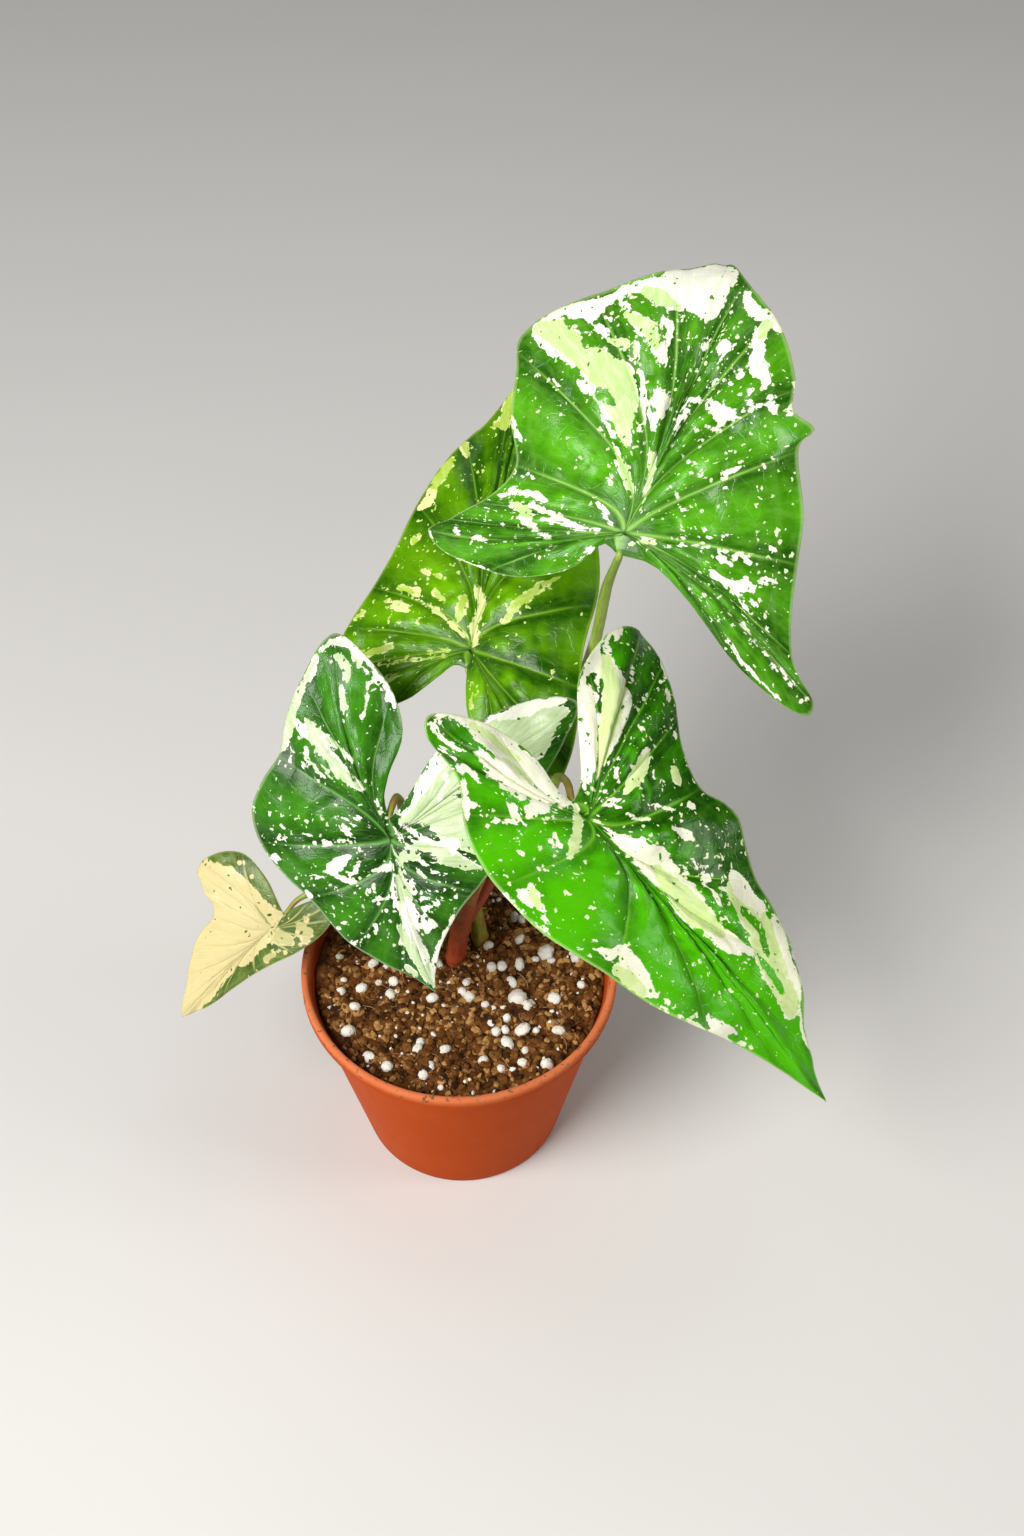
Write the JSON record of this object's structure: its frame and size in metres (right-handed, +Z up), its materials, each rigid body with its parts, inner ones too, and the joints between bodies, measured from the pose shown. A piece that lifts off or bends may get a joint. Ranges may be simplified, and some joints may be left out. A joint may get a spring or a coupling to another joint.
{
  "type": "potted arrowhead plant",
  "caption": "Variegated arrowhead plant with large waved arrow-shaped leaves on arching petioles, growing in soil in a tapered nursery pot with a rolled rim.",
  "frame": {"origin": "centre of the pot's flat underside", "axes": "+Z up; -Y is the side that the picture shows, with the lowest leaf toward -X and the highest toward +X"},
  "size_m": [0.2327, 0.2523, 0.334],
  "materials": {
    "leaf": "waxy green leaf with cream and white variegation",
    "stem": "smooth petiole, red-brown at the foot and green above",
    "soil": "rough peat with white perlite",
    "pot": "satin terracotta-coloured plastic"
  },
  "bodies": {
    "root": {"leaf_top": "leaf", "leaf_right": "leaf", "leaf_front": "leaf", "leaf_back": "leaf", "leaf_low": "leaf", "stem_red": "stem", "stem_olive": "stem", "stem_small": "stem", "soil": "soil", "pot": "pot"}
  },
  "joints": []
}
